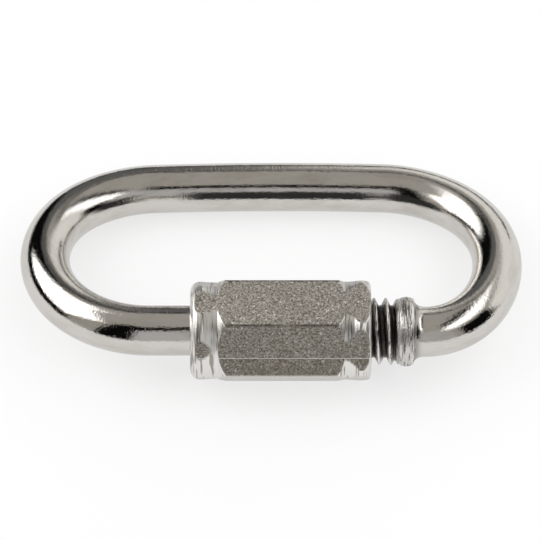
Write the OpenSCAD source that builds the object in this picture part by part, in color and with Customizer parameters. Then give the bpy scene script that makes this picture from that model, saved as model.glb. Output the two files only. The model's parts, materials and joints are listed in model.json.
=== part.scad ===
// Chain quick link: a bent wire link whose open side is closed by a hexagonal sleeve nut.
// Lengths are in millimetres and angles in degrees. The link lies as it comes to rest,
// on its plain side and on the lowest corner of the nut, with the nut's axis along X.

/* [Wire] */
// Diameter of the wire
wire_d = 3; // [2.6:0.1:3.2]
// Clear width between the plain side and the threaded side
eye_width = 10; // [9:0.1:14]
// Length of the plain side between its bends
side_len = 14.1; // [13.5:0.1:20]
// Radius of the wide bend at the right end, at the middle of the wire
wide_r = 6.9; // [6:0.05:7.5]
// Radius of the tighter bend behind the long thread
corner_r = 4.6; // [4.5:0.05:5.5]

/* [Threaded ends] */
// Outside diameter of the thread
thread_d = 4; // [3.8:0.05:4.1]
// Distance from one turn of the thread to the next
pitch = 0.7; // [0.5:0.05:0.75]
// Length of the long thread, which carries the nut
thread_len = 7.5; // [6.5:0.05:8]
// Length of the thread on the short end
stub_len = 0.95; // [0.8:0.05:1.3]
// Diameter of the collar behind the long thread
collar_d = 4.1; // [4.1:0.05:4.3]
// Length of that collar beside its bevel
collar_len = 0.8; // [0.5:0.05:1.5]
// Bevel of each threaded end's edge, above the fillet that runs down to the wire
collar_bevel = 0.1; // [0.05:0.01:0.15]
// Bare wire between the collar's fillet and the bend
neck_len = 0.2; // [0.05:0.05:1]
// Bevel at the tip of each thread
tip_bevel = 0.35; // [0.2:0.05:0.45]

/* [Sleeve nut] */
// Length of the nut
nut_len = 10.75; // [10:0.05:11]
// Width of the nut across its flats
nut_af = 5.7; // [5.5:0.1:6]
// Diameter of the nut's rim over the short end
left_rim_d = 5.9; // [5.85:0.05:6.1]
// Diameter that the nut is turned down to behind that rim
left_neck_d = 5.75; // [5.5:0.05:5.8]
// Length of that turned end
left_end_len = 1.65; // [1.5:0.05:2]
// Diameter of the nut's rim over the long thread
right_rim_d = 6.35; // [6.2:0.05:6.5]
// Diameter that the nut is turned down to behind that rim
right_neck_d = 5.9; // [5.5:0.05:6.1]
// Length of that turned end
right_end_len = 1.6; // [1.5:0.05:2]
// Rounding of the outer edge of each rim
nut_edge_r = 0.6; // [0.3:0.05:0.65]
// Plain part of each rim, beside its rounding
rim_land = 0.1; // [0.05:0.05:0.3]
// Radius of the domed shoulders where the hexagon starts, about points on the nut's axis
shoulder_r = 4.2; // [3.8:0.1:5]
// Bevel at the mouth of the bore, on the short end's side
bore_bevel = 0.2; // [0.1:0.05:0.3]
// Angle of the nut's upper front corner above the plane of the link
nut_turn = 48.5; // [30:0.5:60]

/* [Fit and travel] */
// Length of the short end that the closed nut covers
nut_cover = 1.55; // [1.3:0.05:1.9]
// Turns of the nut that clear the mouth of the link
open_turns = 7; // [6:1:7]
// Gap between the thread and the bore around it
thread_gap = 0.05; // [0.02:0.01:0.1]
// Gap between the collar and the relief that slides over it
collar_gap = 0.25; // [0.2:0.01:0.3]
// Distance left between the nut's thread and the collar when the link is open
run_out_gap = 0.3; // [0.1:0.05:0.6]

/* [Hidden] */
$fn = 96;

// Outline in the plane of the link, with the middle of the plain side at X = 0
wire_r = wire_d / 2;
half_width = (eye_width + wire_d) / 2;
half_side = side_len / 2;
end_len = 2 * half_width - wide_r - corner_r;
leg_x = half_side + wide_r - corner_r;

// Sixty degree thread with a flat on the crests and a wider one at the roots
thread_r = thread_d / 2;
crest_flat = pitch / 8;
root_flat = pitch / 4;
flank = (pitch - crest_flat - root_flat) / 2;
root_r = thread_r - flank / tan(30);

// Places along the threaded side, from right to left
collar_r = collar_d / 2;
long_fillet_r = collar_r - collar_bevel - wire_r;
stub_fillet_r = thread_r - collar_bevel - wire_r;
long_tip_x = leg_x - neck_len - long_fillet_r - collar_bevel - collar_len - thread_len;
mouth = open_turns * pitch - nut_cover;
stub_tip_x = long_tip_x - mouth;
stub_wire_len = half_side + stub_tip_x - stub_len - crest_flat - collar_bevel - stub_fillet_r;
nut_x = stub_tip_x - nut_cover;

// Nut
nut_corner_r = nut_af / 2 / cos(30);
blank_r = nut_corner_r + nut_edge_r;
bore_r = thread_r + thread_gap;
relief_r = collar_r + collar_gap;
nut_thread_len = thread_len - run_out_gap;
corners = [for (k = [0:5]) nut_turn + 60 * k];

// Tilt at which one line from below touches the plain side and a corner of the nut
function corner_y(angle) = -half_width - nut_corner_r * cos(angle);
function corner_z(angle) = nut_corner_r * sin(angle);
function corner_tilt(y, z) =
    atan2(-z, half_width - y) - asin(wire_r / norm([half_width - y, z]));
tilt = max([for (a = corners) corner_tilt(corner_y(a), corner_z(a))]);

// Place of the link's own centre, with the origin below the middle of the part's box
front_y = min([for (a = corners) corner_y(a) * cos(tilt) + corner_z(a) * sin(tilt)]);
back_y = half_width * cos(tilt) + wire_r;
centre_x = (half_width - wide_r) / 2;
centre_y = -(front_y + back_y) / 2;
centre_z = half_width * sin(tilt) + wire_r;

module at_rest() {
    translate([centre_x, centre_y, centre_z]) rotate([-tilt, 0, 0]) children();
}

// A revolved shape about X, its profile drawn along X with radii in Y
module turned() {
    rotate([0, 90, 0]) rotate_extrude() mirror([1, -1]) children();
}

// Straight wire along +X. What follows starts at its end.
module straight(length) {
    rotate([0, 90, 0]) cylinder(r = wire_r, h = length);
    translate([length, 0, 0]) children();
}

// Quarter bend from +X towards -Y. What follows starts at its end and heads on along its own +X.
module quarter_bend(radius) {
    translate([0, -radius, 0]) {
        rotate_extrude(angle = 90) translate([radius, 0]) circle(r = wire_r);
        translate([radius, 0, 0]) rotate([0, 0, -90]) children();
    }
}

// Threaded end along +X: bare wire, a fillet, a bevelled collar and rings of the thread's section
module threaded_end(wire_len, fillet_r, neck_r, collar, length) {
    edge_r = wire_r + fillet_r;
    edge_x = wire_len + fillet_r;
    collar_x = edge_x + collar_bevel;
    thread_x = collar_x + collar;
    tip_x = thread_x + length;
    turns = ceil(length / pitch);
    turned() difference() {
        polygon(concat(
            [[0, 0],
             [0, wire_r],
             [wire_len, wire_r],
             [wire_len, edge_r],
             [edge_x, edge_r],
             [collar_x, neck_r],
             [thread_x, neck_r]],
            [for (i = [0:turns - 1], step = [
                    [flank, root_r],
                    [flank + root_flat, root_r],
                    [pitch - crest_flat, thread_r],
                    [pitch, thread_r]])
                [thread_x + i * pitch + step[0], step[1]]],
            [[thread_x + turns * pitch, 0]]));
        translate([wire_len, edge_r]) circle(r = fillet_r);
        translate([tip_x, 0]) tip_waste();
    }
}

// What the bevelled tip leaves off the last turns of a thread
module tip_waste() {
    polygon([
        [0, -pitch],
        [0, thread_r - tip_bevel],
        [-tip_bevel - pitch, thread_r + pitch],
        [2 * pitch, thread_r + pitch],
        [2 * pitch, -pitch]]);
}

module link_body() {
    color([0.74, 0.73, 0.70]) at_rest() translate([-half_side, half_width, 0]) {
        straight(side_len) quarter_bend(wide_r) straight(end_len) quarter_bend(corner_r)
            threaded_end(neck_len, long_fillet_r, collar_r, collar_len, thread_len);
        mirror([1, 0, 0]) quarter_bend(half_width) quarter_bend(half_width)
            threaded_end(stub_wire_len, stub_fillet_r, thread_r, crest_flat, stub_len);
    }
}

// Form that the nut is turned to, outside which nothing of the hexagon is left
module nut_turning() {
    turned() difference() {
        square([nut_len, blank_r]);
        nut_end_waste(left_rim_d / 2, left_neck_d / 2, left_end_len);
        translate([nut_len, 0]) mirror([1, 0])
            nut_end_waste(right_rim_d / 2, right_neck_d / 2, right_end_len);
    }
}

// What is turned off one end: above a rounded rim, a flare down to the neck and a domed shoulder
module nut_end_waste(rim_r, neck_r, end_len) {
    flare_len = end_len - nut_edge_r - rim_land;
    flare_r = (flare_len ^ 2 + (rim_r - neck_r) ^ 2) / (rim_r - neck_r) / 2;
    dome_x = end_len + sqrt(shoulder_r ^ 2 - neck_r ^ 2);
    difference() {
        translate([-nut_edge_r, rim_r - nut_edge_r]) square([2 * nut_edge_r, blank_r]);
        translate([nut_edge_r, rim_r - nut_edge_r]) circle(r = nut_edge_r);
    }
    translate([nut_edge_r / 2, rim_r]) square([end_len - nut_edge_r / 2, blank_r]);
    intersection() {
        translate([end_len, neck_r + flare_r]) circle(r = flare_r);
        translate([nut_edge_r, neck_r - flare_r]) square([end_len - nut_edge_r, 2 * flare_r]);
    }
    difference() {
        translate([end_len, neck_r]) square([dome_x - end_len, blank_r]);
        translate([dome_x, 0]) circle(r = shoulder_r);
    }
}

// Bore for the thread, and a wider relief that lets the nut run back over the collar
module nut_bore() {
    turned() polygon([
        [0, 0],
        [0, bore_r + bore_bevel],
        [bore_bevel, bore_r],
        [nut_thread_len, bore_r],
        [nut_thread_len + relief_r - bore_r, relief_r],
        [nut_len, relief_r],
        [nut_len, 0]]);
}

module hexagon_bar() {
    rotate([180 - nut_turn, 0, 0]) rotate([0, 90, 0]) rotate([0, 0, 90])
        cylinder(r = nut_corner_r, h = nut_len, $fn = 6);
}

module sleeve_nut() {
    color([0.56, 0.53, 0.48]) at_rest() translate([nut_x, -half_width, 0]) difference() {
        intersection() {
            nut_turning();
            hexagon_bar();
        }
        nut_bore();
    }
}

link_body();
sleeve_nut();
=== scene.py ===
import json
import math

import bmesh
import bpy
from mathutils import Matrix, Vector


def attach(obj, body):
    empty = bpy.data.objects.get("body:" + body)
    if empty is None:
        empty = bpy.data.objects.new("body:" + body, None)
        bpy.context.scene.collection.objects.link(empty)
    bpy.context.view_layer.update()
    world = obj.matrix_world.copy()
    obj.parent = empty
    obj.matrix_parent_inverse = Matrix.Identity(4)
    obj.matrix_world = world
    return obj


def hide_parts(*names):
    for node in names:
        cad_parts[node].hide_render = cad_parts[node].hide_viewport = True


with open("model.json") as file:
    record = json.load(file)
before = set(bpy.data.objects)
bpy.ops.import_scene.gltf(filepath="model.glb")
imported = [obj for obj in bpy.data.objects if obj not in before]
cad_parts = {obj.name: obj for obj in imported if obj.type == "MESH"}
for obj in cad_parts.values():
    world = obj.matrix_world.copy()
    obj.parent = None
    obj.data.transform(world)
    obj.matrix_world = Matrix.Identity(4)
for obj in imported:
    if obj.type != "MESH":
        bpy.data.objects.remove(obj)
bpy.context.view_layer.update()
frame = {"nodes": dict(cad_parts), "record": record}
mm = 0.001
print("frame loaded:", ", ".join(sorted(frame["nodes"])))

# Everything is drawn in millimetres in the plane of the link, X along the nut,
# and laid into the frame at the end.
wireSize = {
    "diameter": 3.0,
    "eyeWidth": 10.0,
    "sideLength": 14.1,
    "wideBend": 6.9,  # right end, back
    "cornerBend": 4.6,  # right end, behind the thread
    "sideBow": 0.07,  # how far the plain side bows out
    "bowTop": 0.8,  # where it does so most, along X
    "bowFall": 0.0031,  # how fast that falls off, per millimetre squared
    "bowFade": 4,  # power by which it fades round the bends
    "sideRings": 24,
    "ringStep": 3.0,  # degrees of bend between rings
    "around": 96,
}
threadSize = {
    "diameter": 4.0,
    "pitch": 0.7,
    "crestFlat": 1 / 8,  # share of the pitch
    "rootFlat": 1 / 4,
    "flankAngle": 30.0,  # degrees
    "rootDepth": 0.05,  # rounded roots go a little deeper
    "rowsPerTurn": 16,
    "longLength": 7.5,
    "stubLength": 0.95,
    "runOut": 0.32,
    "tipRadius": 1.6,
    "tipFade": 0.3,
    "crestAtTop": 7.024,  # place of one crest along X, seen at the upper outline
    "topAngle": 48.0,
    "collarDiameter": 4.16,
    "collarLength": 0.8,
    "collarBevel": 0.1,
    "collarCrown": 0.13,
    "crownRings": 14,
    "filletLength": 0.65,  # from the collar down to the bend
    "filletRise": 0.45,
    "filletRings": 8,
    "workedRise": 0.3,  # height above the bare wire at which the finish is fully worked
    "armDrop": 0.1,  # the long thread sits this much low at its collar
    "dropFrom": 1.4,
}
nutSize = {
    "length": 10.75,
    "acrossFlats": 5.7,
    "frontCorner": 48.5,  # degrees above the plane of the link
    "leftRim": 5.9,
    "leftNeck": 5.75,
    "leftEnd": 1.65,
    "rightRim": 6.35,
    "rightNeck": 5.9,
    "rightEnd": 1.6,
    "edgeRound": 0.6,
    "edgeRings": 12,
    "rimLand": 0.1,
    "flareRings": 20,
    "shoulderDome": 4.2,
    "domeRings": 24,
    "blankMargin": 0.1,  # the turned form reaches this far past the hexagon's corners
    "boreGap": 0.1,
    "boreBevel": 0.2,
    "reliefGap": 0.22,
    "reliefBevel": 0.08,
    "runOutGap": 0.3,
    "stubCover": 1.55,
    "openTurns": 7,
    "frontProud": 0.04,  # the two front flats are cut less deep, by this much at their corner
    "topCut": 0.03,  # and the top flat deeper, by this much
    "cornerSoft": 0.07,
    "creaseSoft": 0.03,
    "creaseBand": 0.012,  # half the width over which one finish gives way to the other
    "flatMask": (0.85, 0.88),  # cosines from a flat's middle between which its mask fades
    "cornerMask": (0.97, 0.99),
    "cornerLine": (0.008, 0.026),  # radians from a corner
    "bunching": 0.75,
    "bunchRadius": (2.3, 2.8),  # none at the bore, all of it outside
    "around": 192,
}

wireRadius = wireSize["diameter"] / 2
halfWidth = (wireSize["eyeWidth"] + wireSize["diameter"]) / 2
halfSide = wireSize["sideLength"] / 2
legX = halfSide + wireSize["wideBend"] - wireSize["cornerBend"]
threadRadius = threadSize["diameter"] / 2
pitch = threadSize["pitch"]
rowStep = pitch / threadSize["rowsPerTurn"]
flank = pitch * (1 - threadSize["crestFlat"] - threadSize["rootFlat"]) / 2
flankSlope = math.tan(math.radians(threadSize["flankAngle"]))
rootRadius = threadRadius - flank / flankSlope - threadSize["rootDepth"]
collarRadius = threadSize["collarDiameter"] / 2
stubFillet = threadRadius - threadSize["collarBevel"] - wireRadius
longCollarX = legX - threadSize["filletLength"] - threadSize["collarBevel"]
longThreadX = longCollarX - threadSize["collarLength"]
armSlope = threadSize["armDrop"] / (longCollarX - threadSize["dropFrom"])
longTipX = longThreadX - threadSize["longLength"]
stubTipX = longTipX - (nutSize["openTurns"] * pitch - nutSize["stubCover"])
stubThreadX = stubTipX - threadSize["stubLength"]
nutX = stubTipX - nutSize["stubCover"]
crestX = threadSize["crestAtTop"] - pitch * threadSize["topAngle"] / 360  # crest at the inner side

halfFlat = math.radians(30)  # half the angle that one flat of the hexagon spans
sixthTurn = 2 * halfFlat

# Where the plane of the link lies in the frame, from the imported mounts
mounts = {mount["name"]: mount for mount in frame["record"]["mounts"]}
flatAxis = Vector(mounts["wrench_flat"]["axis"])
tilt = math.atan2(flatAxis.z, -flatAxis.y) - math.radians(nutSize["frontCorner"]) - halfFlat
linkCentre = Vector(mounts["left_bow"]["pos_m"]) + Vector(((halfSide + halfWidth) * mm, 0, 0))
layFlat = Matrix.Translation(linkCentre) @ Matrix.Rotation(-tilt, 4, "X") @ Matrix.Scale(mm, 4)

weldGap = 0.002  # millimetres
tinyEdge = 1e-7  # metres


# Node helpers: a value is either a plain number or another node's socket
def put(tree, socket, value):
    if isinstance(value, bpy.types.NodeSocket):
        tree.links.new(value, socket)
    else:
        socket.default_value = value


def add(tree, kind, inputs=None, **settings):
    made = tree.nodes.new(kind)
    for name, value in settings.items():
        setattr(made, name, value)
    for place, value in (inputs or {}).items():
        put(tree, made.inputs[place], value)
    return made


def calc(tree, operation, *values):
    return add(tree, "ShaderNodeMath", dict(enumerate(values)), operation=operation).outputs[0]


def between(tree, value, low, high, atLow, atHigh, **settings):
    inputs = dict(enumerate((value, low, high, atLow, atHigh)))
    return add(tree, "ShaderNodeMapRange", inputs, clamp=True, **settings).outputs[0]


def vector(tree, x, y, z):
    return add(tree, "ShaderNodeCombineXYZ", {0: x, 1: y, 2: z}).outputs[0]


def newTree(name, inputs, withMaterial=True):
    tree = bpy.data.node_groups.new(name, "GeometryNodeTree")
    tree.interface.new_socket("Geometry", in_out="INPUT", socket_type="NodeSocketGeometry")
    for label, value in inputs.items():
        kind = "NodeSocketInt" if isinstance(value, int) else "NodeSocketFloat"
        tree.interface.new_socket(label, in_out="INPUT", socket_type=kind).default_value = value
    if withMaterial:
        tree.interface.new_socket("Finish", in_out="INPUT", socket_type="NodeSocketMaterial")
    tree.interface.new_socket("Geometry", in_out="OUTPUT", socket_type="NodeSocketGeometry")
    given = tree.nodes.new("NodeGroupInput").outputs
    result = tree.nodes.new("NodeGroupOutput").inputs
    return tree, given, result


def store(tree, geometry, name, kind, value):
    kept = add(tree, "GeometryNodeStoreNamedAttribute", data_type=kind, domain="POINT")
    put(tree, kept.inputs["Geometry"], geometry)
    put(tree, kept.inputs["Name"], name)
    put(tree, kept.inputs["Value"], value)
    return kept.outputs[0]


def stored(tree, name, kind):
    return add(tree, "GeometryNodeInputNamedAttribute", {"Name": name}, data_type=kind).outputs[0]


def joinAndFinish(tree, given, result, parts):
    joined = add(tree, "GeometryNodeJoinGeometry")
    for part in parts:
        tree.links.new(part, joined.inputs[0])
    welded = add(tree, "GeometryNodeMergeByDistance", {"Geometry": joined.outputs[0], "Distance": weldGap})
    smooth = add(tree, "GeometryNodeSetShadeSmooth", {"Geometry": welded.outputs[0]})
    real = add(tree, "GeometryNodeRealizeInstances", {"Geometry": smooth.outputs[0]})
    finish = add(tree, "GeometryNodeSetMaterial", {"Geometry": real.outputs[0]})
    put(tree, finish.inputs["Material"], given["Finish"])
    tree.links.new(finish.outputs[0], result[0])


def shapeOf(source, tree, finish):
    modifier = source.modifiers.new(tree.name, "NODES")
    modifier.node_group = tree
    for item in tree.interface.items_tree:
        if item.in_out == "INPUT" and item.name == "Finish":
            modifier[item.identifier] = finish
    depsgraph = bpy.context.evaluated_depsgraph_get()
    mesh = bpy.data.meshes.new_from_object(source.evaluated_get(depsgraph), depsgraph=depsgraph)
    source.modifiers.remove(modifier)
    bpy.data.objects.remove(source)
    return mesh


def pieceFrom(mesh, name):
    mesh.name = name
    mesh.transform(layFlat)
    work = bmesh.new()
    work.from_mesh(mesh)
    bmesh.ops.dissolve_degenerate(work, edges=work.edges, dist=tinyEdge)
    bmesh.ops.recalc_face_normals(work, faces=work.faces)
    openEdges = sum(1 for edge in work.edges if not edge.is_manifold)
    work.to_mesh(mesh)
    work.free()
    piece = bpy.data.objects.new(name, mesh)
    bpy.context.scene.collection.objects.link(piece)
    print(name, "made:", len(mesh.polygons), "faces,", openEdges, "open edges")
    return piece


# One helical thread along +X. Its rows follow the helix, so crests and roots stay crisp.
def makeThreadTree():
    tree, given, result = newTree("helicalThread", {
        "Around": wireSize["around"], "Rows": 2, "Row step": rowStep, "Pitch": pitch,
        "First crest": 0.0, "Length": threadSize["longLength"],
        "Crest radius": threadRadius, "Root radius": rootRadius,
        "Start radius": threadRadius, "Start fade": threadSize["runOut"],
        "End radius": threadSize["tipRadius"], "End fade": threadSize["tipFade"],
    }, withMaterial=False)
    columns = calc(tree, "ADD", given["Around"], 1)
    grid = add(tree, "GeometryNodeMeshGrid", {"Vertices X": columns, "Vertices Y": given["Rows"]})
    flat = add(tree, "ShaderNodeSeparateXYZ", {0: add(tree, "GeometryNodeInputPosition").outputs[0]})
    turn = calc(tree, "ADD", flat.outputs[0], 0.5)
    lastRow = calc(tree, "SUBTRACT", given["Rows"], 1)
    row = calc(tree, "MULTIPLY", calc(tree, "ADD", flat.outputs[1], 0.5), lastRow)
    past = calc(tree, "MULTIPLY", row, given["Row step"])  # distance past the first crest
    lead = calc(tree, "MULTIPLY_ADD", turn, given["Pitch"], calc(tree, "ADD", past, given["First crest"]))
    along = calc(tree, "MINIMUM", calc(tree, "MAXIMUM", lead, 0.0), given["Length"])
    swing = calc(tree, "PINGPONG", calc(tree, "DIVIDE", past, given["Pitch"]), 0.5)
    crestEnd = threadSize["crestFlat"] / 2
    rootStart = (1 - threadSize["rootFlat"]) / 2
    ridge = between(tree, swing, crestEnd, rootStart, given["Crest radius"], given["Root radius"])
    nearStart = between(tree, along, 0.0, given["Start fade"], 1.0, 0.0, interpolation_type="SMOOTHSTEP")
    endFrom = calc(tree, "SUBTRACT", given["Length"], given["End fade"])
    nearEnd = between(tree, along, endFrom, given["Length"], 0.0, 1.0)
    eased = between(tree, nearStart, 0.0, 1.0, ridge, given["Start radius"])
    radius = between(tree, nearEnd, 0.0, 1.0, eased, given["End radius"])
    angle = calc(tree, "MULTIPLY", turn, math.tau)
    across = calc(tree, "MULTIPLY", radius, calc(tree, "COSINE", angle))
    upward = calc(tree, "MULTIPLY", radius, calc(tree, "SINE", angle))
    place = vector(tree, along, across, upward)
    marked = store(tree, grid.outputs[0], "wirePlace", "FLOAT_VECTOR", place)
    marked = store(tree, marked, "onThread", "FLOAT", 1.0)
    moved = add(tree, "GeometryNodeSetPosition", {"Geometry": marked, "Position": place})
    tree.links.new(moved.outputs[0], result[0])
    return tree


# What differs from one thread to the next
def threadValues(length, crestPlace, around, crest, root):
    firstCrest = crestPlace % pitch - 2 * pitch
    return {
        "Around": around, "Rows": math.ceil((length - firstCrest) / rowStep) + 1,
        "First crest": firstCrest, "Length": length, "Crest radius": crest, "Root radius": root,
    }


def moveTo(tree, geometry, place, turn=(0, 0, 0)):
    inputs = {"Geometry": geometry, "Translation": place, "Rotation": turn}
    return add(tree, "GeometryNodeTransform", inputs).outputs[0]


def placedThread(tree, values, place, turn=(0, 0, 0)):
    group = add(tree, "GeometryNodeGroup", node_tree=threadTree)
    for label, value in values.items():
        group.inputs[label].default_value = value
    return moveTo(tree, group.outputs[0], place, turn)


def threadTip(tree, place, swing):
    inputs = {"Vertices": wireSize["around"], "Radius": threadSize["tipRadius"]}
    disc = add(tree, "GeometryNodeMeshCircle", inputs, fill_type="NGON")
    return moveTo(tree, disc.outputs[0], place, (0, math.pi / 2, -swing))


# Middle line of the threaded arms. The long one runs a touch towards the front.
def armLine(x, slope=armSlope):
    return -halfWidth - slope * (x - threadSize["dropFrom"])


# The wire's middle line from the short thread round to the long one, with its radius at each point
def wirePath():
    path = []

    def go(x, y, radius=wireRadius):
        bow = wireSize["sideBow"] - wireSize["bowFall"] * (x - wireSize["bowTop"]) ** 2
        path.append((x, y + bow * max(y / halfWidth, 0) ** wireSize["bowFade"], radius))

    def bend(centreX, centreY, radiusX, radiusY, start, stop):
        steps = round(abs(stop - start) / wireSize["ringStep"])
        for i in range(steps + 1):
            angle = math.radians(start + (stop - start) * i / steps)
            go(centreX + radiusX * math.cos(angle), centreY + radiusY * math.sin(angle))

    def fillet(footX, length, rise, slope, rings):
        for i in rings:
            angle = math.radians(90) * i / threadSize["filletRings"]
            x = footX + length * math.cos(angle)
            go(x, armLine(x, slope), wireRadius + rise * (1 - math.sin(angle)))

    bevel = threadSize["collarBevel"]
    filletRings = range(1, threadSize["filletRings"])  # counted from the collar's edge
    stubEdgeX = stubThreadX - pitch * threadSize["crestFlat"] - bevel
    stubFootX = stubEdgeX - stubFillet
    go(stubThreadX, -halfWidth, threadRadius)
    go(stubEdgeX + bevel, -halfWidth, threadRadius)
    go(stubEdgeX, -halfWidth, wireRadius + stubFillet)
    fillet(stubFootX, stubFillet, stubFillet, 0, filletRings)
    go(stubFootX, -halfWidth)
    bend(-halfSide, 0, halfWidth, halfWidth, 270, 90)
    for i in range(1, wireSize["sideRings"]):
        go(-halfSide + 2 * halfSide * i / wireSize["sideRings"], halfWidth)
    wide = wireSize["wideBend"]
    wideEnd = halfWidth - wide
    bend(halfSide, wideEnd, wide, wide, 90, 0)
    # the corner is a quarter of an ellipse that starts where the wide bend ends
    bend(legX, wideEnd, wireSize["cornerBend"], wideEnd - armLine(legX), -wireSize["ringStep"], -90)
    fillet(legX, -threadSize["filletLength"], threadSize["filletRise"], armSlope, reversed(filletRings))
    crownFrom = longCollarX + bevel
    for i in range(threadSize["crownRings"] + 1):
        share = i / threadSize["crownRings"]
        x = crownFrom + share * (longThreadX - crownFrom)
        go(x, armLine(x), collarRadius - threadSize["collarCrown"] * (2 * share - 1) ** 2)
    return path


def curveThrough(name, points):
    curve = bpy.data.curves.new(name, "CURVE")
    curve.dimensions = "3D"
    spline = curve.splines.new("POLY")
    spline.points.add(len(points) - 1)
    for point, (x, y, radius) in zip(spline.points, points):
        point.co = (x, y, 0, 1)
        point.radius = radius
    line = bpy.data.objects.new(name, curve)
    bpy.context.scene.collection.objects.link(line)
    return line


def makeLinkTree():
    tree, given, result = newTree("bentWire", {"Around": wireSize["around"]})
    upright = add(tree, "GeometryNodeSetCurveNormal", {"Curve": given["Geometry"]}, mode="Z_UP")
    length = add(tree, "GeometryNodeSplineParameter").outputs["Length"]
    path = store(tree, upright.outputs[0], "along", "FLOAT", length)
    path = store(tree, path, "reach", "FLOAT", add(tree, "GeometryNodeInputRadius").outputs[0])
    ring = add(tree, "GeometryNodeCurvePrimitiveCircle", {"Resolution": given["Around"], "Radius": 1.0})
    ringPlace = add(tree, "GeometryNodeInputPosition").outputs[0]
    ringLine = store(tree, ring.outputs[0], "ringPlace", "FLOAT_VECTOR", ringPlace)
    swept = add(tree, "GeometryNodeCurveToMesh", {"Curve": path, "Profile Curve": ringLine})
    put(tree, swept.inputs["Scale"], add(tree, "GeometryNodeInputRadius").outputs[0])
    circle = add(tree, "ShaderNodeSeparateXYZ", {0: stored(tree, "ringPlace", "FLOAT_VECTOR")})
    reach = stored(tree, "reach", "FLOAT")
    across = calc(tree, "MULTIPLY", circle.outputs[0], reach)
    upward = calc(tree, "MULTIPLY", circle.outputs[1], reach)
    onWire = vector(tree, stored(tree, "along", "FLOAT"), across, upward)
    wireSkin = store(tree, swept.outputs[0], "wirePlace", "FLOAT_VECTOR", onWire)
    worked = between(tree, reach, wireRadius, wireRadius + threadSize["workedRise"], 0.0, 1.0)
    around = wireSize["around"]
    longLength = threadSize["longLength"]
    stubLength = threadSize["stubLength"]
    longValues = threadValues(longLength, longThreadX - crestX, around, threadRadius, rootRadius)
    longValues["Start radius"] = collarRadius - threadSize["collarCrown"]
    stubValues = threadValues(stubLength, crestX - stubThreadX, around, threadRadius, rootRadius)
    swing = math.atan(armSlope)
    collarY = armLine(longThreadX)
    longTip = (longThreadX - longLength * math.cos(swing), collarY + longLength * math.sin(swing), 0)
    joinAndFinish(tree, given, result, [
        store(tree, wireSkin, "onThread", "FLOAT", worked),
        placedThread(tree, longValues, (longThreadX, collarY, 0), (0, math.pi, -swing)),
        threadTip(tree, longTip, swing),
        placedThread(tree, stubValues, (stubThreadX, -halfWidth, 0)),
        threadTip(tree, (stubTipX, -halfWidth, 0), 0),
    ])
    return tree


# Turned form of the nut: from the mouth of the bore over both ends and back into the relief
def nutProfile():
    profile = []
    boreRadius = threadRadius + nutSize["boreGap"]
    reliefRadius = collarRadius + nutSize["reliefGap"]
    corner = nutSize["acrossFlats"] / 2 / math.cos(halfFlat)
    blank = corner + nutSize["blankMargin"]

    def turnedEnd(rim, neck, end):
        edge = nutSize["edgeRound"]
        flareFrom = edge + nutSize["rimLand"]
        rise = rim - neck
        flare = ((end - flareFrom) ** 2 + rise ** 2) / rise / 2
        dome = nutSize["shoulderDome"]
        domeX = end + math.sqrt(dome ** 2 - neck ** 2)
        points = []
        for i in range(nutSize["edgeRings"] + 1):
            angle = math.radians(90) * i / nutSize["edgeRings"]
            points.append((edge - edge * math.cos(angle), rim - edge + edge * math.sin(angle)))
        for i in range(nutSize["flareRings"] + 1):
            x = flareFrom + (end - flareFrom) * i / nutSize["flareRings"]
            points.append((x, neck + flare - math.sqrt(flare ** 2 - (end - x) ** 2)))
        for i in range(1, nutSize["domeRings"] + 1):
            radius = neck + (blank - neck) * i / nutSize["domeRings"]
            points.append((domeX - math.sqrt(dome ** 2 - radius ** 2), radius))
        return points

    length = nutSize["length"]
    bevel = nutSize["boreBevel"]
    threadEnd = threadSize["longLength"] - nutSize["runOutGap"]
    profile.append((bevel, boreRadius))
    profile.append((0, boreRadius + bevel))
    profile.extend(turnedEnd(nutSize["leftRim"] / 2, nutSize["leftNeck"] / 2, nutSize["leftEnd"]))
    rightEnd = turnedEnd(nutSize["rightRim"] / 2, nutSize["rightNeck"] / 2, nutSize["rightEnd"])
    profile.extend((length - x, radius) for x, radius in reversed(rightEnd))
    profile.append((length - nutSize["reliefBevel"], reliefRadius))
    profile.append((threadEnd + reliefRadius - boreRadius, reliefRadius))
    profile.append((threadEnd, boreRadius))
    return [(x, radius, 1.0) for x, radius in profile]  # the nut's tree reads only the places


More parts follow.
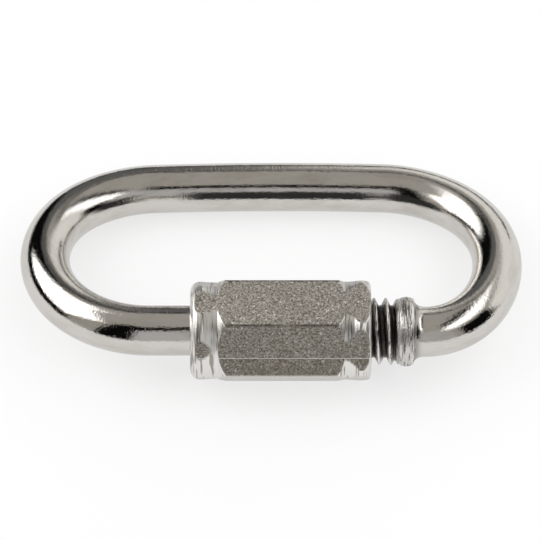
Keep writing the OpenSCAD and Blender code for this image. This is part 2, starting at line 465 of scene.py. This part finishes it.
def makeNutTree(pointCount):
    bunchFrom, bunchTo = nutSize["bunchRadius"]
    tree, given, result = newTree("milledNut", {
        "Around": nutSize["around"], "Points": pointCount, "Apothem": nutSize["acrossFlats"] / 2,
        "Corner angle": math.radians(180 - nutSize["frontCorner"]),
        "Front proud": nutSize["frontProud"], "Top cut": nutSize["topCut"],
        "Corner soft": nutSize["cornerSoft"], "Crease soft": nutSize["creaseSoft"],
        "Bunching": nutSize["bunching"], "Bunch from": bunchFrom, "Bunch to": bunchTo,
    })
    columns = calc(tree, "ADD", given["Around"], 1)
    grid = add(tree, "GeometryNodeMeshGrid", {"Vertices X": columns, "Vertices Y": given["Points"]})
    flat = add(tree, "ShaderNodeSeparateXYZ", {0: add(tree, "GeometryNodeInputPosition").outputs[0]})
    lastPoint = calc(tree, "SUBTRACT", given["Points"], 1)
    row = calc(tree, "ROUND", calc(tree, "MULTIPLY", calc(tree, "ADD", flat.outputs[1], 0.5), lastPoint))
    sampled = add(tree, "GeometryNodeSampleIndex", {"Geometry": given["Geometry"]},
                  data_type="FLOAT_VECTOR", domain="POINT")
    put(tree, sampled.inputs["Value"], add(tree, "GeometryNodeInputPosition").outputs[0])
    put(tree, sampled.inputs["Index"], row)
    form = add(tree, "ShaderNodeSeparateXYZ", {0: sampled.outputs[0]})
    turned = form.outputs[1]
    # columns bunch at the corners of the hexagon, and only on the outside
    even = calc(tree, "MULTIPLY", calc(tree, "ADD", flat.outputs[0], 0.5), math.tau)
    sides = 6.0
    wave = calc(tree, "MULTIPLY", calc(tree, "SUBTRACT", even, given["Corner angle"]), sides)
    bunched = between(tree, turned, given["Bunch from"], given["Bunch to"], 0.0, given["Bunching"])
    pull = calc(tree, "DIVIDE", bunched, sides)
    angle = calc(tree, "SUBTRACT", even, calc(tree, "MULTIPLY", pull, calc(tree, "SINE", wave)))
    # distance to the two nearest flats, softened where they meet
    fromCorner = calc(tree, "SUBTRACT", angle, given["Corner angle"])
    toCorner = calc(tree, "PINGPONG", fromCorner, halfFlat)
    nearFlat = calc(tree, "COSINE", calc(tree, "SUBTRACT", halfFlat, toCorner))
    farFlat = calc(tree, "COSINE", calc(tree, "ADD", halfFlat, toCorner))
    sixths = calc(tree, "DIVIDE", fromCorner, sixthTurn)
    nearCentre = calc(tree, "MULTIPLY", calc(tree, "ADD", calc(tree, "FLOOR", sixths), 0.5), sixthTurn)
    nearCorner = calc(tree, "MULTIPLY", calc(tree, "ROUND", sixths), sixthTurn)
    farCentre = calc(tree, "SUBTRACT", calc(tree, "MULTIPLY", nearCorner, 2.0), nearCentre)
    reaches = []
    for centre, slant in ((nearCentre, nearFlat), (farCentre, farFlat)):
        lean = calc(tree, "COSINE", calc(tree, "SUBTRACT", centre, sixthTurn))
        lean = calc(tree, "MAXIMUM", lean, 0.0)
        height = calc(tree, "MULTIPLY_ADD", lean, given["Front proud"], given["Apothem"])
        onTop = calc(tree, "COSINE", calc(tree, "ADD", centre, halfFlat))
        onTop = calc(tree, "MULTIPLY_ADD", onTop, 2.0, -1.0)
        onTop = calc(tree, "MAXIMUM", onTop, 0.0)  # 1 on the top flat and 0 on the others
        height = calc(tree, "SUBTRACT", height, calc(tree, "MULTIPLY", onTop, given["Top cut"]))
        reaches.append(calc(tree, "DIVIDE", height, slant))
    hexagon = calc(tree, "SMOOTH_MIN", *reaches, given["Corner soft"])
    radius = calc(tree, "SMOOTH_MIN", turned, hexagon, given["Crease soft"])
    across = calc(tree, "MULTIPLY", radius, calc(tree, "COSINE", angle))
    upward = calc(tree, "MULTIPLY", radius, calc(tree, "SINE", angle))
    # what the finish needs to know about each point
    band = nutSize["creaseBand"]
    onLathe = between(tree, calc(tree, "SUBTRACT", hexagon, turned), -band, band, 0.0, 1.0)
    fromFront = calc(tree, "SUBTRACT", fromCorner, halfFlat)  # from the flat below the front corner
    facing = between(tree, calc(tree, "COSINE", fromFront), *nutSize["flatMask"], 0.0, 1.0)
    fromLower = calc(tree, "SUBTRACT", fromFront, sixthTurn)  # and from the next one down
    lower = between(tree, calc(tree, "COSINE", fromLower), *nutSize["flatMask"], 0.0, 1.0)
    fromLowCorner = calc(tree, "COSINE", calc(tree, "SUBTRACT", fromCorner, sixthTurn))
    notLow = between(tree, fromLowCorner, *nutSize["cornerMask"], 1.0, 0.0)  # all corners but the lower front
    edge = calc(tree, "MULTIPLY", notLow, between(tree, toCorner, *nutSize["cornerLine"], 1.0, 0.0))
    acrossFront = calc(tree, "MULTIPLY", radius, calc(tree, "SINE", fromFront))
    marked = grid.outputs[0]
    for name, value in (("turned", onLathe), ("frontFlat", facing), ("lowerFlat", lower),
                        ("cornerLine", edge), ("acrossFront", acrossFront)):
        marked = store(tree, marked, name, "FLOAT", value)
    moved = add(tree, "GeometryNodeSetPosition", {"Geometry": marked})
    put(tree, moved.inputs["Position"], vector(tree, form.outputs[0], across, upward))
    placed = moveTo(tree, moved.outputs[0], (nutX, -halfWidth, 0))
    bevel = nutSize["boreBevel"]
    gap = nutSize["boreGap"]
    insideLength = threadSize["longLength"] - nutSize["runOutGap"] - bevel
    inside = threadValues(insideLength, crestX - nutX - bevel,
                          nutSize["around"], threadRadius + gap, rootRadius + gap)
    inside.update({"Start radius": threadRadius + gap, "End radius": threadRadius + gap,
                   "End fade": threadSize["runOut"]})
    bore = placedThread(tree, inside, (nutX + bevel, -halfWidth, 0))
    joinAndFinish(tree, given, result, [placed, store(tree, bore, "turned", "FLOAT", 1.0)])
    return tree


# Finishes
def newMaterial(name):
    material = bpy.data.materials.new(name)
    material.use_nodes = True
    tree = material.node_tree
    return material, tree, tree.nodes["Principled BSDF"]


def attribute(tree, name, output="Fac"):
    return add(tree, "ShaderNodeAttribute", attribute_name=name).outputs[output]


def noise(tree, place, scale, detail=2.0, rough=0.5):
    made = add(tree, "ShaderNodeTexNoise", {"Vector": place, "Scale": scale, "Detail": detail,
                                            "Roughness": rough})
    return made.outputs["Fac"]


# A share below 1 draws a pattern out along the piece or around it
def stretched(tree, place, along=1.0, around=1.0):
    inputs = {0: place, 1: (along, around, around)}
    return add(tree, "ShaderNodeVectorMath", inputs, operation="MULTIPLY").outputs[0]


def bump(tree, height, strength, depth, normal=None):
    made = add(tree, "ShaderNodeBump", {"Height": height, "Strength": strength, "Distance": depth * mm})
    if normal is not None:
        put(tree, made.inputs["Normal"], normal)
    return made.outputs[0]


def mixColour(tree, factor, first, second):
    made = add(tree, "ShaderNodeMix", data_type="RGBA")
    put(tree, made.inputs["Factor"], factor)
    for name, value in (("A", first), ("B", second)):
        put(tree, made.inputs[name], (*value, 1) if isinstance(value, tuple) else value)
    return made.outputs["Result"]


# Masks fade between a pair of limits. Depths are such pairs too, in millimetres from the wire's middle.
wireLook = {
    "bright": (0.76, 0.735, 0.695),
    "rubbedAndHighlit": (0.97, 0.96, 0.94),
    "stained": (0.64, 0.61, 0.565),
    "worked": (0.50, 0.475, 0.435),
    "wearAndRootDark": (0.06, 0.055, 0.05),
    "drawLines": 9.0,  # per millimetre across the wire
    "drawStretch": 0.12,
    "grain": 9.0,
    "stains": 0.9,
    "stainStretch": 0.35,
    "stainLimits": (0.45, 0.72),
    "workedShare": 0.3,
    "rootDarkDepth": (1.62, 1.84),
    "toolMarks": 16.0,
    "toolStretch": 0.08,
    "wear": 9.0,
    "wearStretch": 0.12,
    "wearLimits": (0.42, 0.52),
    "wearWorked": (0.55, 0.9),  # how worked the wire is where wear sets in
    "wearShare": 0.9,
    "crestDepth": (1.92, 1.97),
    "crestLimits": (0.40, 0.50),
    "crestLeast": 0.2,
    "collarDepth": (2.0, 2.03),
    "collarShare": 0.3,  # the collar gets less of this rubbing and painted highlight than the crests
    "polish": (0.03, 0.085),
    "polishLimits": (0.3, 0.7),
    "cutRough": 0.2,
    "crestRough": 0.38,
    "lineBump": (0.4, 0.012),  # strength, and depth in millimetres
    "grainBump": (0.5, 0.019),
    "toolBump": (0.9, 0.05),
}


def polishedWire():
    material, tree, shader = newMaterial("polishedWire")
    place = attribute(tree, "wirePlace", "Vector")
    onThread = attribute(tree, "onThread")
    drawn = stretched(tree, place, along=wireLook["drawStretch"])
    lines = noise(tree, drawn, wireLook["drawLines"], detail=3.0)
    grain = noise(tree, place, wireLook["grain"])
    stainPlace = stretched(tree, place, along=wireLook["stainStretch"])
    stains = noise(tree, stainPlace, wireLook["stains"], detail=4.0, rough=0.6)
    stainAmount = between(tree, stains, *wireLook["stainLimits"], 0.0, 1.0)
    skin = mixColour(tree, stainAmount, wireLook["bright"], wireLook["stained"])
    worked = calc(tree, "MULTIPLY", onThread, wireLook["workedShare"])
    skin = mixColour(tree, worked, skin, wireLook["worked"])
    # wear in rings around the thread and the collar
    worn = noise(tree, stretched(tree, place, around=wireLook["wearStretch"]), wireLook["wear"],
                 detail=3.0, rough=0.6)
    wear = calc(tree, "MULTIPLY", between(tree, onThread, *wireLook["wearWorked"], 0.0, 1.0),
                between(tree, worn, *wireLook["wearLimits"], wireLook["wearShare"], 0.0))
    skin = mixColour(tree, wear, skin, wireLook["wearAndRootDark"])
    # pale crests, partly rubbed and partly painted highlight, and grooves darker towards the roots
    split = add(tree, "ShaderNodeSeparateXYZ", {0: place}).outputs
    depth = calc(tree, "SQRT", calc(tree, "MULTIPLY_ADD", split[1], split[1],
                                    calc(tree, "MULTIPLY", split[2], split[2])))
    crest = onThread
    for value, limits, atLow, atHigh in (
        (depth, wireLook["crestDepth"], 0.0, 1.0),
        (depth, wireLook["collarDepth"], 1.0, wireLook["collarShare"]),
        (worn, wireLook["crestLimits"], wireLook["crestLeast"], 1.0),
    ):
        crest = calc(tree, "MULTIPLY", crest, between(tree, value, *limits, atLow, atHigh))
    # crests and collar painted pale: partly real rubbing, partly painted highlight
    skin = mixColour(tree, crest, skin, wireLook["rubbedAndHighlit"])
    # the worked parts turn darker below a set depth from the wire's middle, at the thread's roots and the
    # fillets' feet
    rootDark = calc(tree, "MULTIPLY", onThread, between(tree, depth, *wireLook["rootDarkDepth"], 1.0, 0.0))
    put(tree, shader.inputs["Base Color"], mixColour(tree, rootDark, skin, wireLook["wearAndRootDark"]))
    shader.inputs["Metallic"].default_value = 1.0
    polish = between(tree, grain, *wireLook["polishLimits"], *wireLook["polish"])
    cut = between(tree, onThread, 0.0, 1.0, polish, wireLook["cutRough"])
    put(tree, shader.inputs["Roughness"], between(tree, crest, 0.0, 1.0, cut, wireLook["crestRough"]))
    marks = noise(tree, stretched(tree, place, around=wireLook["toolStretch"]), wireLook["toolMarks"])
    toolStrength, toolDepth = wireLook["toolBump"]
    relief = bump(tree, lines, *wireLook["lineBump"])
    relief = bump(tree, grain, *wireLook["grainBump"], relief)
    relief = bump(tree, marks, calc(tree, "MULTIPLY", onThread, toolStrength), toolDepth, relief)
    put(tree, shader.inputs["Normal"], relief)
    return material


# Patterns are counted per metre here, because the nut's finish reads Object coordinates
nutLook = {
    "flat": (0.66, 0.62, 0.565),
    "flatDark": (0.22, 0.195, 0.16),
    # colour of the painted shade on the front flat
    "frontShadeColour": (0.10, 0.078, 0.038),
    "cornerDirt": (0.035, 0.03, 0.024),
    "sparkle": (0.95, 0.93, 0.90),
    "frontShadeTone": 0.66,  # painted shade: the front flat is painted darker
    "lowerReflection": 0.75,  # painted reflection: the one below it painted pale, as the bright floor it mirrors
    "turned": (0.95, 0.93, 0.90),
    "turnedDark": (0.42, 0.395, 0.355),
    "grain": 8000.0,
    "grainLimits": (0.37, 0.6),
    "flecks": 6000.0,
    "fleckLimits": (0.64, 0.70),
    "patches": 1300.0,
    "patchStretch": 0.6,
    "cornerLimits": (0.38, 0.55),
    "cornerShare": (0.2, 0.75),
    "turningMarks": 6500.0,
    "markStretch": 0.03,
    "streakStretch": 0.07,
    "streakLimits": (0.37, 0.44),
    "scratchAt": 0.5,  # millimetres below the middle of the front flat
    "scratchWidth": (0.012, 0.03),
    "scratchShare": 0.8,
    "shadeBelowScratch": 1.35,  # how much deeper that painted shade is on the front flat below it
    "underFade": 0.08,
    "flatRough": (0.36, 0.5),
    "roughLimits": (0.3, 0.7),
    "turnedRough": 0.32,
    "grainBump": (0.8, 0.1),  # strength on the flats and on the turned ends
    "markBump": (0.05, 0.9),
    "bumpDepth": 0.05,  # millimetres
}


def milledNut():
    material, tree, shader = newMaterial("milledNut")
    place = add(tree, "ShaderNodeTexCoord").outputs["Object"]
    onLathe = attribute(tree, "turned")
    front = attribute(tree, "frontFlat")
    lower = attribute(tree, "lowerFlat")
    across = attribute(tree, "acrossFront")
    grain = noise(tree, place, nutLook["grain"], detail=3.0, rough=0.65)
    flecks = noise(tree, place, nutLook["flecks"], detail=1.0)
    patchPlace = stretched(tree, place, along=nutLook["patchStretch"])
    patches = noise(tree, patchPlace, nutLook["patches"], detail=3.0)
    marks = noise(tree, stretched(tree, place, around=nutLook["markStretch"]), nutLook["turningMarks"])
    streaks = noise(tree, stretched(tree, place, around=nutLook["streakStretch"]), nutLook["turningMarks"])
    # the flats, from the bare grain up
    skin = mixColour(tree, between(tree, grain, *nutLook["grainLimits"], 0.0, 1.0),
                     nutLook["flatDark"], nutLook["flat"])
    skin = mixColour(tree, between(tree, flecks, *nutLook["fleckLimits"], 0.0, 1.0), skin, nutLook["sparkle"])
    # painted shade: the front flat is painted darker than the top one, and darker still below the scratch
    scratchAt = nutLook["scratchAt"]
    under = between(tree, across, scratchAt, scratchAt + nutLook["underFade"], 1.0, nutLook["shadeBelowScratch"])
    frontShade = calc(tree, "MULTIPLY", calc(tree, "MULTIPLY", front, 1 - nutLook["frontShadeTone"]), under)
    skin = mixColour(tree, frontShade, skin, nutLook["frontShadeColour"])
    broken = between(tree, patches, *nutLook["cornerLimits"], *nutLook["cornerShare"])
    broken = calc(tree, "MULTIPLY", attribute(tree, "cornerLine"), broken)
    skin = mixColour(tree, broken, skin, nutLook["cornerDirt"])
    off = calc(tree, "ABSOLUTE", calc(tree, "SUBTRACT", across, scratchAt))
    scratch = between(tree, off, *nutLook["scratchWidth"], nutLook["scratchShare"], 0.0)
    skin = mixColour(tree, calc(tree, "MULTIPLY", front, scratch), skin, nutLook["sparkle"])
    # painted reflection: the flat below the front one painted pale, as the bright floor it mirrors
    skin = mixColour(tree, calc(tree, "MULTIPLY", lower, nutLook["lowerReflection"]), skin, nutLook["sparkle"])
    # the turned ends
    lathe = mixColour(tree, between(tree, streaks, *nutLook["streakLimits"], 0.0, 1.0),
                      nutLook["turnedDark"], nutLook["turned"])
    put(tree, shader.inputs["Base Color"], mixColour(tree, onLathe, skin, lathe))
    shader.inputs["Metallic"].default_value = 1.0
    flatRough = between(tree, patches, *nutLook["roughLimits"], *nutLook["flatRough"])
    put(tree, shader.inputs["Roughness"], between(tree, onLathe, 0.0, 1.0, flatRough, nutLook["turnedRough"]))
    relief = None
    for height, strengths in ((grain, nutLook["grainBump"]), (marks, nutLook["markBump"])):
        strength = between(tree, onLathe, 0.0, 1.0, *strengths)
        relief = bump(tree, height, strength, nutLook["bumpDepth"], relief)
    put(tree, shader.inputs["Normal"], relief)
    return material


# Pieces
threadTree = makeThreadTree()

linkMesh = shapeOf(curveThrough("wireLine", wirePath()), makeLinkTree(), polishedWire())
linkPiece = pieceFrom(linkMesh, "polishedLink")
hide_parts("link_body")
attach(linkPiece, "link")

profile = nutProfile()
nutMesh = shapeOf(curveThrough("nutLine", profile), makeNutTree(len(profile)), milledNut())
nutPiece = pieceFrom(nutMesh, "sleeveNut")
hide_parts("sleeve_nut")
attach(nutPiece, "nut")


# Studio: pale floor, two soft boxes, a pale panel behind and cards for the metal to mirror
stageLook = {
    "floorReach": 3.0,  # metres
    "floorTone": 0.9,
    "floorSeen": 0.66,  # share of plain white that the camera sees
    "floorMirrored": 0.75,  # share of a softer white that the metal mirrors
    "mirroredWhite": 0.74,
    "overhead": 0.37,
    "overheadTint": (1.0, 0.955, 0.89),
    "roomLight": 0.75,
    "roomTint": (1.0, 1.0, 1.0),
    "softBox": 1.7,
    "panel": 0.45,
    "darkCard": 0.004,
    "dimCard": 0.12,
    "nutBackShade": 0.035,
    "paleCard": 0.46,
    "stripX": (40, 52),  # lower and upper edge of the strip that the metal mirrors
    "stripEdgeX": (52.5, 44),
    "stripEdgeRise": (1, 22),  # the dark edge, above the strip
    "flagY": -2.2,
    "flagHeight": (0.2, 6.2),
}


def paleFloor():
    material, tree, shader = newMaterial("paleFloor")
    output = tree.nodes["Material Output"]
    tree.nodes.remove(shader)
    tone = stageLook["floorTone"]
    lit = add(tree, "ShaderNodeBsdfDiffuse", {"Color": (tone, tone, tone, 1)})
    path = add(tree, "ShaderNodeLightPath").outputs
    strength = between(tree, path["Is Camera Ray"], 0.0, 1.0, stageLook["mirroredWhite"], 1.0)
    white = add(tree, "ShaderNodeEmission", {"Color": (1, 1, 1, 1), "Strength": strength})
    mirrored = calc(tree, "MAXIMUM", path["Is Glossy Ray"], path["Is Transmission Ray"])
    share = calc(tree, "MULTIPLY_ADD", path["Is Camera Ray"], stageLook["floorSeen"],
                 calc(tree, "MULTIPLY", mirrored, stageLook["floorMirrored"]))
    mixed = add(tree, "ShaderNodeMixShader", {0: share, 1: lit.outputs[0], 2: white.outputs[0]})
    tree.links.new(mixed.outputs[0], output.inputs["Surface"])
    floor = bpy.data.objects.new("floor", bpy.data.meshes.new("floor"))
    reach = stageLook["floorReach"]
    corners = [(-reach, -reach, 0), (reach, -reach, 0), (reach, reach, 0), (-reach, reach, 0)]
    floor.data.from_pydata(corners, [], [(0, 1, 2, 3)])
    floor.data.materials.append(material)
    bpy.context.scene.collection.objects.link(floor)


def softBox(name, centre, target, width, height, radiance):
    lamp = bpy.data.lights.new(name, "AREA")
    lamp.shape = "RECTANGLE"
    lamp.size = width * mm
    lamp.size_y = height * mm
    lamp.energy = radiance * math.pi * lamp.size * lamp.size_y
    holder = bpy.data.objects.new(name, lamp)
    holder.location = Vector(centre) * mm
    holder.rotation_euler = (Vector(target) - Vector(centre)).to_track_quat("-Z", "Y").to_euler()
    bpy.context.scene.collection.objects.link(holder)
    return holder


# Azimuth 0 is behind the link, 90 to its right
def direction(azimuth, elevation):
    around = math.radians(azimuth)
    up = math.radians(elevation)
    return Vector((math.sin(around) * math.cos(up), math.cos(around) * math.cos(up), math.sin(up)))


# A card that only mirrors see
def standCard(name, corners, material, faces=((0, 1, 2, 3),)):
    card = bpy.data.objects.new(name, bpy.data.meshes.new(name))
    card.data.from_pydata([Vector(corner) * mm for corner in corners], [], faces)
    card.data.materials.append(material)
    bpy.context.scene.collection.objects.link(card)
    card.visible_camera = False
    card.visible_diffuse = False
    card.visible_shadow = False


# The same with its corners given as angles around a point
def hangCard(name, around, distance, corners, material):
    standCard(name, [Vector(around) + direction(*corner) * distance for corner in corners], material)


# A band that runs along Y, each place with its lower and upper edge
def bandCard(name, edgeX, places, material):
    lowX, highX = edgeX
    corners = []
    for y, low, high in places:
        corners.append((lowX, y, low))
        corners.append((highX, y, high))
    faces = [(2 * i, 2 * i + 2, 2 * i + 3, 2 * i + 1) for i in range(len(places) - 1)]
    standCard(name, corners, material, faces)


# A one-sided card is only there for what faces its front
def cardFinish(name, tone, oneSided=False):
    material, tree, shader = newMaterial(name)
    output = tree.nodes["Material Output"]
    tree.nodes.remove(shader)
    face = add(tree, "ShaderNodeEmission", {"Color": (tone, tone, tone, 1), "Strength": 1.0}).outputs[0]
    if oneSided:
        behind = add(tree, "ShaderNodeNewGeometry").outputs["Backfacing"]
        clear = add(tree, "ShaderNodeBsdfTransparent").outputs[0]
        face = add(tree, "ShaderNodeMixShader", {0: behind, 1: face, 2: clear}).outputs[0]
    tree.links.new(face, output.inputs["Surface"])
    return material


def lamps():
    softBox("leftBox", centre=(-76, 5, 56), target=(-8, -10, 2), width=78, height=76,
            radiance=stageLook["softBox"])
    strip = softBox("rightStrip", centre=(55, 4, 59), target=(4, 4, 2), width=132, height=31,
                    radiance=stageLook["softBox"])
    strip.visible_glossy = False  # the metal mirrors a curved strip in its place
    softBox("backPanel", centre=(130, 130, 62), target=(0, 0, 2), width=320, height=120,
            radiance=stageLook["panel"])


def cards():
    dark = cardFinish("darkCard", stageLook["darkCard"])
    dim = cardFinish("dimCard", stageLook["dimCard"])
    backShade = cardFinish("nutBackShade", stageLook["nutBackShade"], oneSided=True)
    pale = cardFinish("paleCard", stageLook["paleCard"])
    white = cardFinish("whiteCard", stageLook["softBox"])
    middle = (0, 0, 2)
    left = (-12, 0, 2)
    for card in (
        ("farLeftBox", middle, 320, ((-82, 12), (-47, 12), (-24, 60), (-82, 60)), white),
        ("besideLeftBox", middle, 290, ((-54, 1), (-17, 1), (-17, 44), (-27, 47)), dark),
        ("underLeftBox", left, 84, ((-113, 0), (-46, 0), (-46, 16), (-113, 17)), dark),
        ("leftFrontCard", middle, 150, ((-162, -1), (-134, -1), (-134, 62), (-162, 62)), dark),
        ("cameraCard", middle, 160, ((-190, 45), (-150, 45), (-150, 59), (-190, 59)), dark),
        ("frontPanel", middle, 170, ((138, 2), (197, 2), (197, 42), (138, 42)), pale),
        ("backCard", middle, 300, ((-19, 1), (0, 1), (0, 46), (-22, 46)), dim),
        ("backHorizon", middle, 140, ((-19, 1), (40, 1), (40, 7), (-19, 7)), dark),
        ("backLine", middle, 95, ((-20, 40), (28, 40), (28, 44), (-20, 44)), dark),
    ):
        hangCard(*card)
    standCard("rightFrontCard", ((66, -49, 0), (79, -9, 0), (82, 6, 50), (66, -49, 50)), dark)
    stripPlaces = ((-54, 60, 92), (-30, 36, 84), (0, 28, 79), (14, 36, 80), (52, 59, 88), (80, 76, 100))
    edgeLow, edgeHigh = stageLook["stripEdgeRise"]
    edgePlaces = [(y, high + edgeLow, high + edgeHigh) for y, low, high in stripPlaces]
    bandCard("mirroredStrip", stageLook["stripX"], stripPlaces, white)
    bandCard("stripEdge", stageLook["stripEdgeX"], edgePlaces, dark)
    # between the nut and the plain side, which mirrors the nut's dark back: a dark card that only mirrors
    # see, painted shade standing in for that shaded back
    nutFrom = nutX + linkCentre.x / mm
    nutTo = nutFrom + nutSize["length"]
    flagY = stageLook["flagY"]
    low, high = stageLook["flagHeight"]
    flag = ((nutTo, flagY, low), (nutFrom, flagY, low), (nutFrom, flagY, high), (nutTo, flagY, high))
    standCard("nutFlag", flag, backShade)


def room():
    world = bpy.data.worlds.new("studio")
    world.use_nodes = True
    bpy.context.scene.world = world
    tree = world.node_tree
    back = tree.nodes["Background"]
    path = add(tree, "ShaderNodeLightPath").outputs
    glossy = path["Is Glossy Ray"]
    light = between(tree, glossy, 0.0, 1.0, stageLook["roomLight"], stageLook["overhead"])
    put(tree, back.inputs["Strength"], between(tree, path["Is Camera Ray"], 0.0, 1.0, light, 1.0))
    put(tree, back.inputs["Color"], mixColour(tree, glossy, stageLook["roomTint"], stageLook["overheadTint"]))


paleFloor()
lamps()
cards()
room()
print("studio set")

# The camera at the photograph's viewing angle
cameraSize = {
    "distance": 239.75,
    "height": 41.97,  # degrees above the plane of the link
    "focal": 3935.4,  # pixels, in a frame 540 pixels wide
    "frame": 540,
    "sensor": 36.0,
    "shift": (2.364, -12.323),
    "clip": 0.01,  # metres
}


def camera():
    lens = bpy.data.cameras.new("camera")
    lens.sensor_width = cameraSize["sensor"]
    lens.lens = cameraSize["focal"] / cameraSize["frame"] * cameraSize["sensor"]
    lens.shift_x = cameraSize["shift"][0] / cameraSize["frame"]
    lens.shift_y = cameraSize["shift"][1] / cameraSize["frame"]
    lens.clip_start = cameraSize["clip"]
    holder = bpy.data.objects.new("camera", lens)
    height = math.radians(cameraSize["height"]) + tilt
    away = Vector((0, -math.cos(height), math.sin(height)))
    holder.location = linkCentre + away * cameraSize["distance"] * mm
    holder.rotation_euler = (math.pi / 2 - height, 0, 0)
    bpy.context.scene.collection.objects.link(holder)
    bpy.context.scene.camera = holder
    print("camera", round(math.degrees(height), 2), "degrees above the floor")


camera()
bpy.context.scene.view_settings.view_transform = "Standard"
